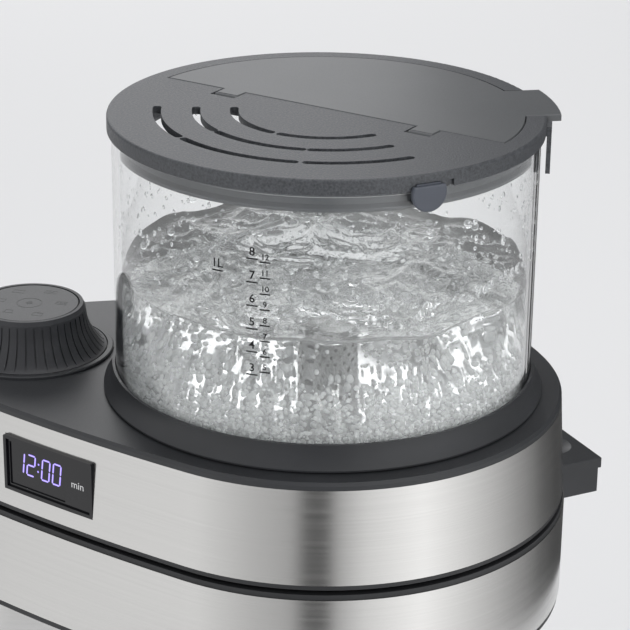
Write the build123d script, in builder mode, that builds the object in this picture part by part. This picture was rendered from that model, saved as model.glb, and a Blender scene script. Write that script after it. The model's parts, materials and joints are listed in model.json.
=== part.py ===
"""Filter coffee maker with a glass boiling tank on top.

Row frame, millimetres: the origin is where the axis of the tank and the jug meets the surface
that the machine stands on. +Z is up, +X runs from the column to the tank, and -Y is the front.
"""

import os
from math import cos, radians, sin, sqrt

from build123d import *

os.makedirs("parts", exist_ok=True)

# ---- Driving dimensions ------------------------------------------------------------------

TOTAL_H = 390.0  # the resting plane to the top of the tank's lid
AXIS_GAP = 113.0  # the tank's axis to the column's axis
TANK_END_R = 89.4  # housing plan: round end under the tank
COLUMN_END_R = 46.3  # housing plan: round end at the column
SIDE_R = 733.0  # housing plan: the two long, slightly bowed sides
SKIN = 0.8  # brushed steel sheet
WALL = 2.5  # moulded plastic walls
RUN_FIT = 0.08  # radial clearance of a turning fit
PART_GAP = 0.3  # space between pieces that move past each other

# Heights, counted from the resting plane
FOOT_H = 3.5
BASE_TOP = 36.0
PLATE_TOP = 38.2
ARM_BOTTOM = 207.6
ARM_BAND_BOTTOM = 209.9
ARM_BAND_TOP = 245.3
ARM_TOP = 247.2
HEAD_BOTTOM = 248.9
HEAD_BAND_BOTTOM = 250.6
HEAD_BAND_TOP = 285.0
HEAD_TOP = 287.6
COLLAR_TOP = 296.8
GLASS_TOP = 384.6

# How far each outline stands out from the plan
BAND_OUT = 0.6
HEAD_TAPER = 2.2  # the head band leans in by this much over its height

# Tank
GLASS_R = 75.2
GLASS_WALL = 2.6
TANK_FLOOR_TOP = 293.0
OUTLET = (8.0, -26.0)
STRAINER_R = 9.5
STRAINER_H = 19.0

# Lid: its own x axis runs along the flap's hinge
LID_TURN = -18.6
LID_R = 76.7
FLAP_R = 69.3
FLAP_BOTTOM = TOTAL_H - 2.3
FLAP_EDGE_V = 1.9
HINGE_V = -3.2
HINGE_Z = TOTAL_H - 1.3
LUG_U = 40.0
LUG_W = 9.2
PIN_R = 0.8
SLOT_W = 3.0

# Knob
KNOB_R = 28.4
KNOB_RIM_R = 20.4
BUTTON_R = 18.4
BUTTON_TOP = 305.7
SLEEVE_R = 12.0
RIB_COUNT = 44

# Swing arm
POST_R = 26.0
ARM_HANDLE_TURN = 40.0
ARM_HANDLE_R = 112.4
ARM_HANDLE_W = 36.0
ARM_HANDLE_TOP = 241.5

# Filter basket and jug
BASKET_R = 57.5
BASKET_FLANGE_R = 65.6
BASKET_FLOOR = 174.5
BASKET_FLOOR_R = 30.0
VALVE_FOOT_Z = 161.0
JUG_BOTTOM = PLATE_TOP + PART_GAP
JUG_R = 61.0
JUG_HANDLE_TURN = -40.0

# ---- Shared construction -----------------------------------------------------------------

SIDE_CENTRE_X = (
    (TANK_END_R - COLUMN_END_R) * (2 * SIDE_R - TANK_END_R - COLUMN_END_R) - AXIS_GAP**2
) / (2 * AXIS_GAP)
SIDE_CENTRE_Y = sqrt((SIDE_R - TANK_END_R) ** 2 - SIDE_CENTRE_X**2)
COLUMN_AXIS = (-AXIS_GAP, 0.0)


def side_point(x, grow):
    """Point of the front side at x, on the plan grown outwards by grow."""
    radius = SIDE_R + grow
    return (x, SIDE_CENTRE_Y - sqrt(radius**2 - (x - SIDE_CENTRE_X) ** 2))


def plan(grow, z=0.0):
    """Teardrop plan of the housing, grown outwards by grow, as a sketch at height z."""
    reach = (TANK_END_R + grow) / (SIDE_R - TANK_END_R)
    tank_x, tank_y = -SIDE_CENTRE_X * reach, SIDE_CENTRE_Y * reach
    reach = (COLUMN_END_R + grow) / (SIDE_R - COLUMN_END_R)
    column_x, column_y = -AXIS_GAP - (AXIS_GAP + SIDE_CENTRE_X) * reach, SIDE_CENTRE_Y * reach
    side_x, side_y = side_point((tank_x + column_x) / 2, grow)
    with BuildSketch(Plane.XY.offset(z), mode=Mode.PRIVATE) as outline:
        with BuildLine():
            ThreePointArc((column_x, -column_y), (side_x, side_y), (tank_x, -tank_y))
            ThreePointArc((tank_x, -tank_y), (TANK_END_R + grow, 0), (tank_x, tank_y))
            ThreePointArc((tank_x, tank_y), (side_x, -side_y), (column_x, column_y))
            ThreePointArc(
                (column_x, column_y), (-AXIS_GAP - COLUMN_END_R - grow, 0), (column_x, -column_y)
            )
        make_face()
    return outline.sketch


def housing_block(low, high, grow, mode=Mode.ADD):
    """Add or cut an upright block of the housing plan in the part being built."""
    extrude(plan(grow, low), amount=high - low, mode=mode)


def tapered_block(low, low_grow, high, high_grow, mode=Mode.ADD):
    """Add or cut a block of the housing plan that leans in or out on its way up."""
    loft([plan(low_grow, low), plan(high_grow, high)], ruled=True, mode=mode)


def disc(centre, radius, low, high, mode=Mode.ADD):
    """Add or cut an upright cylinder in the part being built."""
    with Locations((centre[0], centre[1], low)):
        Cylinder(radius, high - low, align=(Align.CENTER, Align.CENTER, Align.MIN), mode=mode)


def coil(centre, low, high, radius, wire, turns):
    """Coil spring with its axis upright."""
    with BuildPart(mode=Mode.PRIVATE) as spring:
        with BuildLine(Plane((centre[0], centre[1], low + wire))) as path:
            rise = high - low - 2 * wire
            Helix(pitch=rise / turns, height=rise, radius=radius)
        with BuildSketch(Plane(path.line @ 0, z_dir=path.line % 0)):
            Circle(wire)
        sweep(is_frenet=True)
    return spring.part


def polar(radius, angle):
    """Point at a radius and an angle in degrees, seen from above."""
    return (radius * cos(radians(angle)), radius * sin(radians(angle)))


ORIGIN = (0.0, 0.0)

# ---- Base --------------------------------------------------------------------------------

FEET = [(0, 0), (52, -50), (52, 50), (-122, -24), (-122, 24)]
SCREWS = [(68, 0), (0, -66), (0, 66), (-88, -38), (-88, 38)]
BASE_BAND_BOTTOM = 8.0
BASE_BAND_TOP = 31.0
PLATE_HOLE_R = 63.2
COVER_TOP = 6.5

# The mains cord would leave through a gland in the base's round column end, at the back.
GLAND_TURN = 150.0
GLAND_R = 5.5
gland_foot = polar(COLUMN_END_R - GLAND_R, GLAND_TURN)
gland_plane = Plane(
    (COLUMN_AXIS[0] + gland_foot[0], gland_foot[1], 19.5), z_dir=(*polar(1, GLAND_TURN), 0)
)


def gland_hole():
    """Cut the gland's hole through the part being built."""
    with BuildSketch(gland_plane, mode=Mode.PRIVATE) as hole:
        Circle(GLAND_R + 0.1)
    extrude(hole.sketch, amount=12, mode=Mode.SUBTRACT)


with BuildPart() as base_shell:
    housing_block(FOOT_H, BASE_BAND_BOTTOM, BAND_OUT)
    housing_block(BASE_BAND_BOTTOM, BASE_BAND_TOP, BAND_OUT - SKIN - 0.1)
    housing_block(BASE_BAND_TOP, BASE_TOP, BAND_OUT)
    chamfer(base_shell.faces().sort_by(Axis.Z)[-1].outer_wire().edges(), 1.2)
    housing_block(FOOT_H, BASE_TOP - WALL, -3.4, mode=Mode.SUBTRACT)
    disc(ORIGIN, PLATE_HOLE_R, BASE_TOP - WALL, BASE_TOP, mode=Mode.SUBTRACT)
    disc(COLUMN_AXIS, 20, BASE_TOP - WALL, BASE_TOP, mode=Mode.SUBTRACT)
    for x, y in SCREWS:
        disc((x, y), 4, COVER_TOP, BASE_TOP - WALL)
        disc((x, y), 1.5, COVER_TOP, 20, mode=Mode.SUBTRACT)
    gland_hole()
base_shell.part.label = "base_shell"
export_step(base_shell.part, "parts/base_shell.step")

with BuildPart() as base_band:
    housing_block(BASE_BAND_BOTTOM, BASE_BAND_TOP, BAND_OUT)
    housing_block(BASE_BAND_BOTTOM, BASE_BAND_TOP, BAND_OUT - SKIN, mode=Mode.SUBTRACT)
    gland_hole()
base_band.part.label = "base_band"
export_step(base_band.part, "parts/base_band.step")

with BuildPart() as base_cover:
    housing_block(FOOT_H, COVER_TOP, -3.6)
    for x, y in SCREWS:
        disc((x, y), 1.9, FOOT_H, COVER_TOP, mode=Mode.SUBTRACT)
        disc((x, y), 3.6, FOOT_H, FOOT_H + 1.6, mode=Mode.SUBTRACT)
    for x in (-18, -9, 0, 9, 18):
        with Locations((x - 40, 0, FOOT_H)):
            Box(3, 34, COVER_TOP, align=(Align.CENTER, Align.CENTER, Align.MIN), mode=Mode.SUBTRACT)
base_cover.part.label = "base_cover"
export_step(base_cover.part, "parts/base_cover.step")

with BuildPart() as base_feet:
    for x, y in FEET:
        disc((x, y), 9, 0, FOOT_H)
    chamfer(base_feet.faces().filter_by(Axis.Z).group_by(Axis.Z)[0].edges(), 0.8)
base_feet.part.label = "base_feet"
export_step(base_feet.part, "parts/base_feet.step")

with BuildPart() as base_screws:
    for x, y in SCREWS:
        disc((x, y), 3.3, FOOT_H + 0.1, FOOT_H + 1.6)
        disc((x, y), 1.45, FOOT_H + 1.6, 16)
base_screws.part.label = "base_screws"
export_step(base_screws.part, "parts/base_screws.step")

with BuildPart() as warming_plate:
    disc(ORIGIN, PLATE_HOLE_R - 0.6, BASE_TOP - WALL, PLATE_TOP)
    fillet(warming_plate.edges().group_by(Axis.Z)[-1], 0.9)
    disc(ORIGIN, PLATE_HOLE_R - 1.9, BASE_TOP - WALL, PLATE_TOP - 1.3, mode=Mode.SUBTRACT)
warming_plate.part.label = "warming_plate"
export_step(warming_plate.part, "parts/warming_plate.step")

PLATE_UNDERSIDE = PLATE_TOP - 1.3

with BuildPart() as plate_heater:
    with BuildSketch(Plane.XY.offset(PLATE_UNDERSIDE - 8)):
        Circle(52)
        Circle(41, mode=Mode.SUBTRACT)
        with Locations((-46, 0)):
            Rectangle(20, 14, mode=Mode.SUBTRACT)
    extrude(amount=8)
plate_heater.part.label = "plate_heater"
export_step(plate_heater.part, "parts/plate_heater.step")

with BuildPart() as plate_thermostat:
    disc(ORIGIN, 9, PLATE_UNDERSIDE - 7, PLATE_UNDERSIDE)
    disc(ORIGIN, 6, PLATE_UNDERSIDE - 11, PLATE_UNDERSIDE - 7)
plate_thermostat.part.label = "plate_thermostat"
export_step(plate_thermostat.part, "parts/plate_thermostat.step")

with BuildPart() as cord_gland:
    with BuildSketch(gland_plane):
        Circle(GLAND_R)
    extrude(amount=9.5)
    with BuildSketch(gland_plane.offset(6.3)):
        Circle(8)
    extrude(amount=2.2)
    with BuildSketch(gland_plane):
        Circle(3.4)
    extrude(amount=9.5, mode=Mode.SUBTRACT)
cord_gland.part.label = "cord_gland"
export_step(cord_gland.part, "parts/cord_gland.step")

# ---- Column ------------------------------------------------------------------------------

COLUMN_TOP = ARM_BOTTOM - 0.8
COLUMN_R = 45.4
CORE_R = COLUMN_R - SKIN - 0.1
POST_SOCKET = 40.0  # how far the post runs down into the column
POST_TOP = HEAD_BAND_BOTTOM + 14

with BuildPart() as column_skin:
    disc(COLUMN_AXIS, COLUMN_R, BASE_TOP, COLUMN_TOP)
    disc(COLUMN_AXIS, COLUMN_R - SKIN, BASE_TOP, COLUMN_TOP, mode=Mode.SUBTRACT)
column_skin.part.label = "column_skin"
export_step(column_skin.part, "parts/column_skin.step")

with BuildPart() as column_core:
    disc(COLUMN_AXIS, CORE_R, BASE_TOP, COLUMN_TOP)
    disc(COLUMN_AXIS, CORE_R - WALL, BASE_TOP, COLUMN_TOP - 4, mode=Mode.SUBTRACT)
    disc(COLUMN_AXIS, POST_R + 3, COLUMN_TOP - POST_SOCKET, COLUMN_TOP - 4)
    disc(COLUMN_AXIS, POST_R + 0.05, COLUMN_TOP - POST_SOCKET, COLUMN_TOP, mode=Mode.SUBTRACT)
column_core.part.label = "column_core"
export_step(column_core.part, "parts/column_core.step")

with BuildPart() as pivot_post:
    disc(COLUMN_AXIS, POST_R, COLUMN_TOP - POST_SOCKET, POST_TOP)
    disc(COLUMN_AXIS, POST_R - 2, COLUMN_TOP - POST_SOCKET, POST_TOP, mode=Mode.SUBTRACT)
pivot_post.part.label = "pivot_post"
export_step(pivot_post.part, "parts/pivot_post.step")

with BuildPart() as thrust_washer:
    disc(COLUMN_AXIS, POST_R + 9, COLUMN_TOP, ARM_BOTTOM - 0.1)
    disc(COLUMN_AXIS, POST_R + 0.1, COLUMN_TOP, ARM_BOTTOM - 0.1, mode=Mode.SUBTRACT)
thrust_washer.part.label = "thrust_washer"
export_step(thrust_washer.part, "parts/thrust_washer.step")

BOARD_T = 1.6

with BuildPart() as power_board:
    with Locations((-132, 0, 92)):
        Box(BOARD_T, 50, 88)
    with Locations((-122.2, 0, 112)):
        Box(18, 26, 24)
    with Locations((-125.2, -13, 80), (-125.2, 13, 80)):
        Box(12, 16, 20)
    with Locations((-126.2, 12, 62)):
        Cylinder(5, 10, rotation=(0, 90, 0))
power_board.part.label = "power_board"
export_step(power_board.part, "parts/power_board.step")

# ---- Swing arm ---------------------------------------------------------------------------

WELL_R = 63.4
BUSH_R = POST_R + RUN_FIT + 1.9
DECK_T = 2.3
DECK_TOP = 245.0

with BuildPart() as arm_shell:
    housing_block(ARM_BOTTOM, ARM_BAND_BOTTOM, 0.2)
    housing_block(ARM_BAND_BOTTOM, ARM_BAND_TOP, BAND_OUT - SKIN - 0.1)
    housing_block(ARM_BAND_TOP, ARM_TOP, 0.1)
    housing_block(ARM_BAND_BOTTOM + 0.4, ARM_TOP, -2.8, mode=Mode.SUBTRACT)
    disc(ORIGIN, WELL_R + 2.4, ARM_BOTTOM, DECK_TOP - DECK_T)
    disc(ORIGIN, WELL_R, ARM_BAND_BOTTOM + 0.4, DECK_TOP - DECK_T, mode=Mode.SUBTRACT)
    disc(ORIGIN, 48, ARM_BOTTOM, ARM_BAND_BOTTOM + 0.4, mode=Mode.SUBTRACT)
    disc(COLUMN_AXIS, BUSH_R + 3.2, ARM_BOTTOM, ARM_TOP)
    disc(COLUMN_AXIS, BUSH_R, ARM_BOTTOM, ARM_TOP, mode=Mode.SUBTRACT)
arm_shell.part.label = "arm_shell"
export_step(arm_shell.part, "parts/arm_shell.step")

with BuildPart() as arm_band:
    housing_block(ARM_BAND_BOTTOM, ARM_BAND_TOP, BAND_OUT)
    housing_block(ARM_BAND_BOTTOM, ARM_BAND_TOP, BAND_OUT - SKIN, mode=Mode.SUBTRACT)
arm_band.part.label = "arm_band"
export_step(arm_band.part, "parts/arm_band.step")

with BuildPart() as arm_deck:
    housing_block(DECK_TOP - DECK_T, DECK_TOP, -2.9)
    disc(ORIGIN, WELL_R + 2.7, DECK_TOP - DECK_T, DECK_TOP, mode=Mode.SUBTRACT)
    disc(COLUMN_AXIS, BUSH_R + 3.3, DECK_TOP - DECK_T, DECK_TOP, mode=Mode.SUBTRACT)
arm_deck.part.label = "arm_deck"
export_step(arm_deck.part, "parts/arm_deck.step")

with BuildPart() as arm_bush:
    disc(COLUMN_AXIS, BUSH_R, ARM_BOTTOM, ARM_TOP)
    disc(COLUMN_AXIS, POST_R + RUN_FIT, ARM_BOTTOM, ARM_TOP, mode=Mode.SUBTRACT)
arm_bush.part.label = "arm_bush"
export_step(arm_bush.part, "parts/arm_bush.step")

HANDLE_CAP_T = 4.0
HANDLE_BODY_H = 10.4
HANDLE_STEP = 0.8
handle_plane = Plane.XY.rotated((0, 0, ARM_HANDLE_TURN))
cap_bottom = ARM_HANDLE_TOP - HANDLE_CAP_T

with BuildPart() as arm_handle_cap:
    with BuildSketch(handle_plane.offset(cap_bottom)):
        with Locations((ARM_HANDLE_R, 0)):
            Rectangle(40, ARM_HANDLE_W, align=(Align.MAX, Align.CENTER))
    extrude(amount=HANDLE_CAP_T)
    housing_block(cap_bottom, ARM_HANDLE_TOP, BAND_OUT + 0.02, mode=Mode.SUBTRACT)
    fillet(arm_handle_cap.edges().filter_by(Axis.Z), 1.0)
    chamfer(arm_handle_cap.edges().group_by(Axis.Z)[-1], 0.4)
    thumb = polar(ARM_HANDLE_R - 12.5, ARM_HANDLE_TURN)
    with Locations((*thumb, ARM_HANDLE_TOP + 17.2)):
        Sphere(19, mode=Mode.SUBTRACT)
arm_handle_cap.part.label = "arm_handle_cap"
export_step(arm_handle_cap.part, "parts/arm_handle_cap.step")

with BuildPart() as arm_handle_body:
    with BuildSketch(handle_plane.offset(cap_bottom - HANDLE_BODY_H)):
        with Locations((ARM_HANDLE_R - HANDLE_STEP, 0)):
            Rectangle(40, ARM_HANDLE_W - 2 * HANDLE_STEP, align=(Align.MAX, Align.CENTER))
    extrude(amount=HANDLE_BODY_H)
    housing_block(cap_bottom - HANDLE_BODY_H, cap_bottom, BAND_OUT + 0.02, mode=Mode.SUBTRACT)
    fillet(arm_handle_body.edges().filter_by(Axis.Z), 1.0)
    with BuildSketch(handle_plane.offset(cap_bottom - HANDLE_BODY_H)):
        with Locations((ARM_HANDLE_R - HANDLE_STEP - WALL, 0)):
            Rectangle(13, ARM_HANDLE_W - 2 * (HANDLE_STEP + WALL), align=(Align.MAX, Align.CENTER))
    extrude(amount=HANDLE_BODY_H - WALL, mode=Mode.SUBTRACT)
arm_handle_body.part.label = "arm_handle_body"
export_step(arm_handle_body.part, "parts/arm_handle_body.step")

# ---- Filter basket and drip stop ---------------------------------------------------------

BASKET_T = 2.2
BASKET_SEAT = DECK_TOP - DECK_T
NOZZLE_R = 8.0
NOZZLE_BOTTOM = 164.5
SPRING_TOP = 172.0

with BuildPart() as filter_basket:
    with BuildSketch(Plane.XZ):
        with BuildLine():
            Polyline(
                (3.6, BASKET_FLOOR),
                (BASKET_FLOOR_R - BASKET_T, BASKET_FLOOR),
                (BASKET_R - BASKET_T, BASKET_SEAT + BASKET_T),
                (BASKET_FLANGE_R, BASKET_SEAT + BASKET_T),
                (BASKET_FLANGE_R, BASKET_SEAT),
                (BASKET_R, BASKET_SEAT),
                (BASKET_FLOOR_R, SPRING_TOP),
                (NOZZLE_R, SPRING_TOP),
                (NOZZLE_R, NOZZLE_BOTTOM),
                (NOZZLE_R - 1.4, NOZZLE_BOTTOM),
                (NOZZLE_R - 1.4, SPRING_TOP),
                (3.6, SPRING_TOP),
                close=True,
            )
        make_face()
    revolve(axis=Axis.Z)
    for turn in range(0, 360, 30):
        rib_plane = Plane.XZ.rotated((0, 0, turn + 15))
        with BuildSketch(rib_plane):
            with BuildLine():
                Polyline(
                    (BASKET_FLOOR_R + 1.2, BASKET_FLOOR + 5.5),
                    (BASKET_FLOOR_R - 1.0, BASKET_FLOOR + 6.5),
                    (BASKET_R - 8.0, BASKET_SEAT - 9.2),
                    (BASKET_R - 5.2, BASKET_SEAT - 7.2),
                    close=True,
                )
            make_face()
        extrude(amount=0.6, both=True)
filter_basket.part.label = "filter_basket"
export_step(filter_basket.part, "parts/filter_basket.step")

with BuildPart() as drip_valve:
    disc(ORIGIN, 7, BASKET_FLOOR + 0.1, BASKET_FLOOR + 1.6)
    disc(ORIGIN, 1.9, VALVE_FOOT_Z + 1, BASKET_FLOOR + 1)
    disc(ORIGIN, 5.6, VALVE_FOOT_Z, VALVE_FOOT_Z + 1.8)
    fillet(drip_valve.edges().group_by(Axis.Z)[0], 0.8)
drip_valve.part.label = "drip_valve"
export_step(drip_valve.part, "parts/drip_valve.step")

with BuildPart() as drip_spring:
    add(coil(ORIGIN, VALVE_FOOT_Z + 1.9, SPRING_TOP - 0.1, 4.0, 0.35, 5))
drip_spring.part.label = "drip_spring"
export_step(drip_spring.part, "parts/drip_spring.step")

# ---- Head --------------------------------------------------------------------------------

HEAD_FLOOR_TOP = HEAD_BAND_BOTTOM + WALL
SHOWER_R = 41.0
COLLAR_LEDGE = 279.5
COLLAR_OUT_R = 78.0
TANK_BORE_R = GLASS_R + 0.3

# The display's window frame stands on the bowed front, and its middle sets this plane.
DISPLAY_X = -83.9
DISPLAY_Z = 267.2
DISPLAY_W = 41.8
DISPLAY_H = 21.2
DISPLAY_FRAME = 1.3
DISPLAY_DEPTH = 4.2
display_spot = side_point(DISPLAY_X, -HEAD_TAPER / 2)
display_plane = Plane(
    (*display_spot, DISPLAY_Z),
    x_dir=(SIDE_CENTRE_Y - display_spot[1], display_spot[0] - SIDE_CENTRE_X, 0),
    z_dir=(display_spot[0] - SIDE_CENTRE_X, display_spot[1] - SIDE_CENTRE_Y, 0),
)


def display_hole():
    """Cut the hole for the display's frame through the part being built."""
    with BuildSketch(display_plane, mode=Mode.PRIVATE) as hole:
        Rectangle(DISPLAY_W + 0.1, DISPLAY_H + 0.1)
    extrude(hole.sketch, amount=8, both=True, mode=Mode.SUBTRACT)


with BuildPart() as head_shell:
    housing_block(HEAD_BOTTOM, HEAD_BAND_BOTTOM, -0.2)
    tapered_block(
        HEAD_BAND_BOTTOM, -SKIN - 0.1, HEAD_BAND_TOP, -SKIN - 0.1 - HEAD_TAPER
    )
    tapered_block(
        HEAD_FLOOR_TOP, -SKIN - WALL, HEAD_BAND_TOP, -SKIN - WALL - HEAD_TAPER, mode=Mode.SUBTRACT
    )
    disc(ORIGIN, SHOWER_R + 0.2, HEAD_BOTTOM, HEAD_FLOOR_TOP, mode=Mode.SUBTRACT)
    disc(COLUMN_AXIS, POST_R + 3, HEAD_FLOOR_TOP, HEAD_FLOOR_TOP + 12)
    disc(COLUMN_AXIS, POST_R + 0.05, HEAD_BOTTOM, HEAD_FLOOR_TOP + 12, mode=Mode.SUBTRACT)
    display_hole()
head_shell.part.label = "head_shell"
export_step(head_shell.part, "parts/head_shell.step")

with BuildPart() as head_band:
    tapered_block(HEAD_BAND_BOTTOM, 0, HEAD_BAND_TOP, -HEAD_TAPER)
    tapered_block(
        HEAD_BAND_BOTTOM, -SKIN, HEAD_BAND_TOP, -SKIN - HEAD_TAPER, mode=Mode.SUBTRACT
    )
    display_hole()
head_band.part.label = "head_band"
export_step(head_band.part, "parts/head_band.step")

with BuildPart() as display_bezel:
    with BuildSketch(display_plane.offset(-DISPLAY_DEPTH)):
        RectangleRounded(DISPLAY_W, DISPLAY_H, 0.8)
        Rectangle(
            DISPLAY_W - 2 * DISPLAY_FRAME, DISPLAY_H - 2 * DISPLAY_FRAME, mode=Mode.SUBTRACT
        )
    extrude(amount=DISPLAY_DEPTH + 0.5)
display_bezel.part.label = "display_bezel"
export_step(display_bezel.part, "parts/display_bezel.step")

LENS_W = DISPLAY_W - 2 * DISPLAY_FRAME - 0.1
LENS_H = DISPLAY_H - 2 * DISPLAY_FRAME - 0.1
LENS_SPLIT = 12.0
LENS_STEP = 0.5

with BuildPart() as display_window:
    with BuildSketch(display_plane.offset(-2.4)):
        Rectangle(LENS_W, LENS_H)
    extrude(amount=2.1)
    with BuildSketch(display_plane.offset(-0.3)):
        with Locations((-LENS_W / 2 + 1, 0)):
            Rectangle(LENS_W - LENS_SPLIT - 1, LENS_H - 2, align=(Align.MIN, Align.CENTER))
    extrude(amount=-LENS_STEP, mode=Mode.SUBTRACT)
display_window.part.label = "display_window"
export_step(display_window.part, "parts/display_window.step")

with BuildPart() as display_module:
    with BuildSketch(display_plane.offset(-8.5)):
        Rectangle(LENS_W - 4, LENS_H - 3)
    extrude(amount=6)
display_module.part.label = "display_module"
export_step(display_module.part, "parts/display_module.step")

with BuildPart() as control_board:
    with BuildSketch(display_plane.offset(-8.5 - BOARD_T)):
        Rectangle(56, 24)
    extrude(amount=BOARD_T)
    with BuildSketch(display_plane.offset(-8.5 - BOARD_T)):
        with Locations((-18, 2), (0, -3)):
            Rectangle(9, 9)
        with GridLocations(5, 6, 2, 2):
            Rectangle(2.2, 3)
    extrude(amount=-2.2)
control_board.part.label = "control_board"
export_step(control_board.part, "parts/control_board.step")

with BuildPart() as top_plate:
    housing_block(HEAD_BAND_TOP, HEAD_TOP, -HEAD_TAPER - 0.1)
    chamfer(top_plate.edges().group_by(Axis.Z)[-1], 1.0)
    disc(ORIGIN, COLLAR_OUT_R + 0.1, HEAD_BAND_TOP, HEAD_TOP, mode=Mode.SUBTRACT)
    disc(COLUMN_AXIS, SLEEVE_R + 0.05, HEAD_BAND_TOP, HEAD_TOP, mode=Mode.SUBTRACT)
top_plate.part.label = "top_plate"
export_step(top_plate.part, "parts/top_plate.step")

# ---- Tank --------------------------------------------------------------------------------

GASKET_BOTTOM = COLLAR_LEDGE + WALL
GLASS_BOTTOM = GASKET_BOTTOM + 2.0
FLARE_R = 79.7
PAN_R = GLASS_R - GLASS_WALL - 0.3
PAN_T = 1.5

with BuildPart() as tank_collar:
    with BuildSketch(Plane.XZ):
        with BuildLine():
            Polyline(
                (TANK_BORE_R + 1.0, COLLAR_TOP),
                (TANK_BORE_R, COLLAR_TOP),
                (TANK_BORE_R, GASKET_BOTTOM),
                (69, GASKET_BOTTOM),
                (69, COLLAR_LEDGE),
                (COLLAR_OUT_R, COLLAR_LEDGE),
                (COLLAR_OUT_R, HEAD_TOP + 0.5),
                (FLARE_R, HEAD_TOP + 0.5),
                (FLARE_R, HEAD_TOP + 1.1),
            )
            ThreePointArc(
                (FLARE_R, HEAD_TOP + 1.1), (77.4, HEAD_TOP + 4.4), (TANK_BORE_R + 1.0, COLLAR_TOP)
            )
        make_face()
    revolve(axis=Axis.Z)
tank_collar.part.label = "tank_collar"
export_step(tank_collar.part, "parts/tank_collar.step")

with BuildPart() as tank_gasket:
    disc(ORIGIN, TANK_BORE_R - 0.05, GASKET_BOTTOM, GLASS_BOTTOM)
    disc(ORIGIN, 69.5, GASKET_BOTTOM, GLASS_BOTTOM, mode=Mode.SUBTRACT)
tank_gasket.part.label = "tank_gasket"
export_step(tank_gasket.part, "parts/tank_gasket.step")

with BuildPart() as tank_glass:
    disc(ORIGIN, GLASS_R, GLASS_BOTTOM, GLASS_TOP)
    disc(ORIGIN, GLASS_R - GLASS_WALL, GLASS_BOTTOM, GLASS_TOP, mode=Mode.SUBTRACT)
    fillet(tank_glass.edges().group_by(Axis.Z)[-1], 0.9)
tank_glass.part.label = "tank_glass"
export_step(tank_glass.part, "parts/tank_glass.step")

with BuildPart() as tank_floor:
    disc(ORIGIN, PAN_R, GLASS_BOTTOM, TANK_FLOOR_TOP)
    fillet(tank_floor.edges().group_by(Axis.Z)[-1], 1.2)
    disc(ORIGIN, PAN_R - PAN_T, GLASS_BOTTOM, TANK_FLOOR_TOP - PAN_T, mode=Mode.SUBTRACT)
    disc(OUTLET, 4.8, TANK_FLOOR_TOP - PAN_T, TANK_FLOOR_TOP, mode=Mode.SUBTRACT)
tank_floor.part.label = "tank_floor"
export_step(tank_floor.part, "parts/tank_floor.step")

PAN_UNDERSIDE = TANK_FLOOR_TOP - PAN_T

with BuildPart() as tank_heater:
    with BuildSketch(Plane.XY.offset(PAN_UNDERSIDE - 9)):
        Circle(62)
        Circle(50, mode=Mode.SUBTRACT)
        with Locations((-56, 0)):
            Rectangle(20, 16, mode=Mode.SUBTRACT)
    extrude(amount=9)
tank_heater.part.label = "tank_heater"
export_step(tank_heater.part, "parts/tank_heater.step")

with BuildPart() as tank_thermostat:
    disc((-22, 8), 9, PAN_UNDERSIDE - 7, PAN_UNDERSIDE)
    disc((-22, 8), 6, PAN_UNDERSIDE - 11, PAN_UNDERSIDE - 7)
tank_thermostat.part.label = "tank_thermostat"
export_step(tank_thermostat.part, "parts/tank_thermostat.step")

STRAINER_T = 0.6
HOLE_ROWS = 6
HOLES_ROUND = 18
HOLE_R = 0.65

with BuildPart() as strainer:
    disc(OUTLET, STRAINER_R, TANK_FLOOR_TOP, TANK_FLOOR_TOP + STRAINER_H)
    fillet(strainer.edges().group_by(Axis.Z)[-1], 1.0)
    disc(
        OUTLET,
        STRAINER_R - STRAINER_T,
        TANK_FLOOR_TOP,
        TANK_FLOOR_TOP + STRAINER_H - STRAINER_T,
        mode=Mode.SUBTRACT,
    )
    for row in range(HOLE_ROWS):
        row_z = TANK_FLOOR_TOP + 2.6 + row * 2.7
        for step in range(HOLES_ROUND // 2):
            hole_turn = 360 / HOLES_ROUND * (step + 0.5 * (row % 2))
            with Locations(Location((*OUTLET, row_z), (0, 0, hole_turn))):
                Cylinder(HOLE_R, 30, rotation=(90, 0, 0), mode=Mode.SUBTRACT)
strainer.part.label = "strainer"
export_step(strainer.part, "parts/strainer.step")

SHOWER_TOP = 258.0
VALVE_R = 6.0
ARMATURE_R = 4.4
STOP_Z = 279.0
OUTLET_STROKE = 4.0

with BuildPart() as valve_tube:
    disc(OUTLET, VALVE_R, SHOWER_TOP, PAN_UNDERSIDE)
    disc(OUTLET, 9, PAN_UNDERSIDE - 2, PAN_UNDERSIDE)
    disc(OUTLET, ARMATURE_R + 0.4, SHOWER_TOP, PAN_UNDERSIDE, mode=Mode.SUBTRACT)
    disc(OUTLET, VALVE_R - 0.6, STOP_Z, STOP_Z + 2)
    disc(OUTLET, 3.2, STOP_Z, STOP_Z + 2, mode=Mode.SUBTRACT)
valve_tube.part.label = "valve_tube"
export_step(valve_tube.part, "parts/valve_tube.step")

with BuildPart() as solenoid_coil:
    disc(OUTLET, 12.5, SHOWER_TOP, STOP_Z)
    disc(OUTLET, VALVE_R + 0.05, SHOWER_TOP, STOP_Z, mode=Mode.SUBTRACT)
solenoid_coil.part.label = "solenoid_coil"
export_step(solenoid_coil.part, "parts/solenoid_coil.step")

ARMATURE_TOP = 270.5

with BuildPart() as outlet_plunger:
    disc(OUTLET, ARMATURE_R, SHOWER_TOP + 3, ARMATURE_TOP)
    disc(OUTLET, 2, ARMATURE_TOP - 1, TANK_FLOOR_TOP + 1)
    disc(OUTLET, 6.6, TANK_FLOOR_TOP + 0.1, TANK_FLOOR_TOP + 1.9)
outlet_plunger.part.label = "outlet_plunger"
export_step(outlet_plunger.part, "parts/outlet_plunger.step")

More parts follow.
